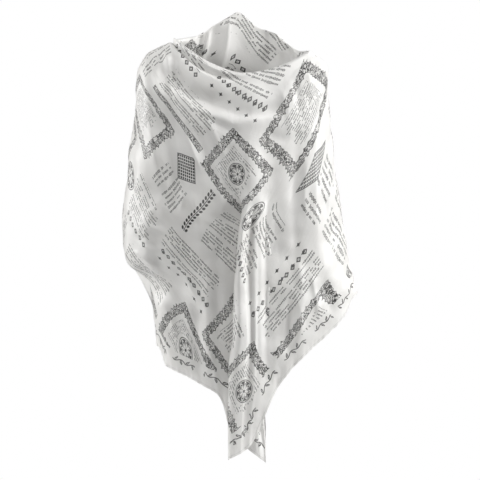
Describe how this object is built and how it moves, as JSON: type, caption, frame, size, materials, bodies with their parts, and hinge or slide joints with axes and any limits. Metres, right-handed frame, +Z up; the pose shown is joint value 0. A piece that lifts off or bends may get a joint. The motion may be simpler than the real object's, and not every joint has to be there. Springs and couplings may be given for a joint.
{
  "type": "prayer scarf, worn folded corner to corner round the shoulders",
  "caption": "Large square of printed satin folded corner to corner, worn point down at the front with a cowl at the neck and ends crossing behind.",
  "frame": {"origin": "inside the neck at the base of the neck fold, where the wearer's shoulders carry the scarf", "axes": "+X to the right of someone facing the front, the front faces -Y, +Z up"},
  "size_m": [0.555, 0.2905, 1.0582],
  "materials": {
    "printed_satin": "ivory satin with black printing"
  },
  "bodies": {
    "root": {"front_left_panel": "printed_satin", "centre_pleat": "printed_satin", "front_right_panel": "printed_satin", "back_over_end": "printed_satin", "back_under_end": "printed_satin", "cowl_fold": "printed_satin", "collar_back": "printed_satin"}
  },
  "joints": []
}
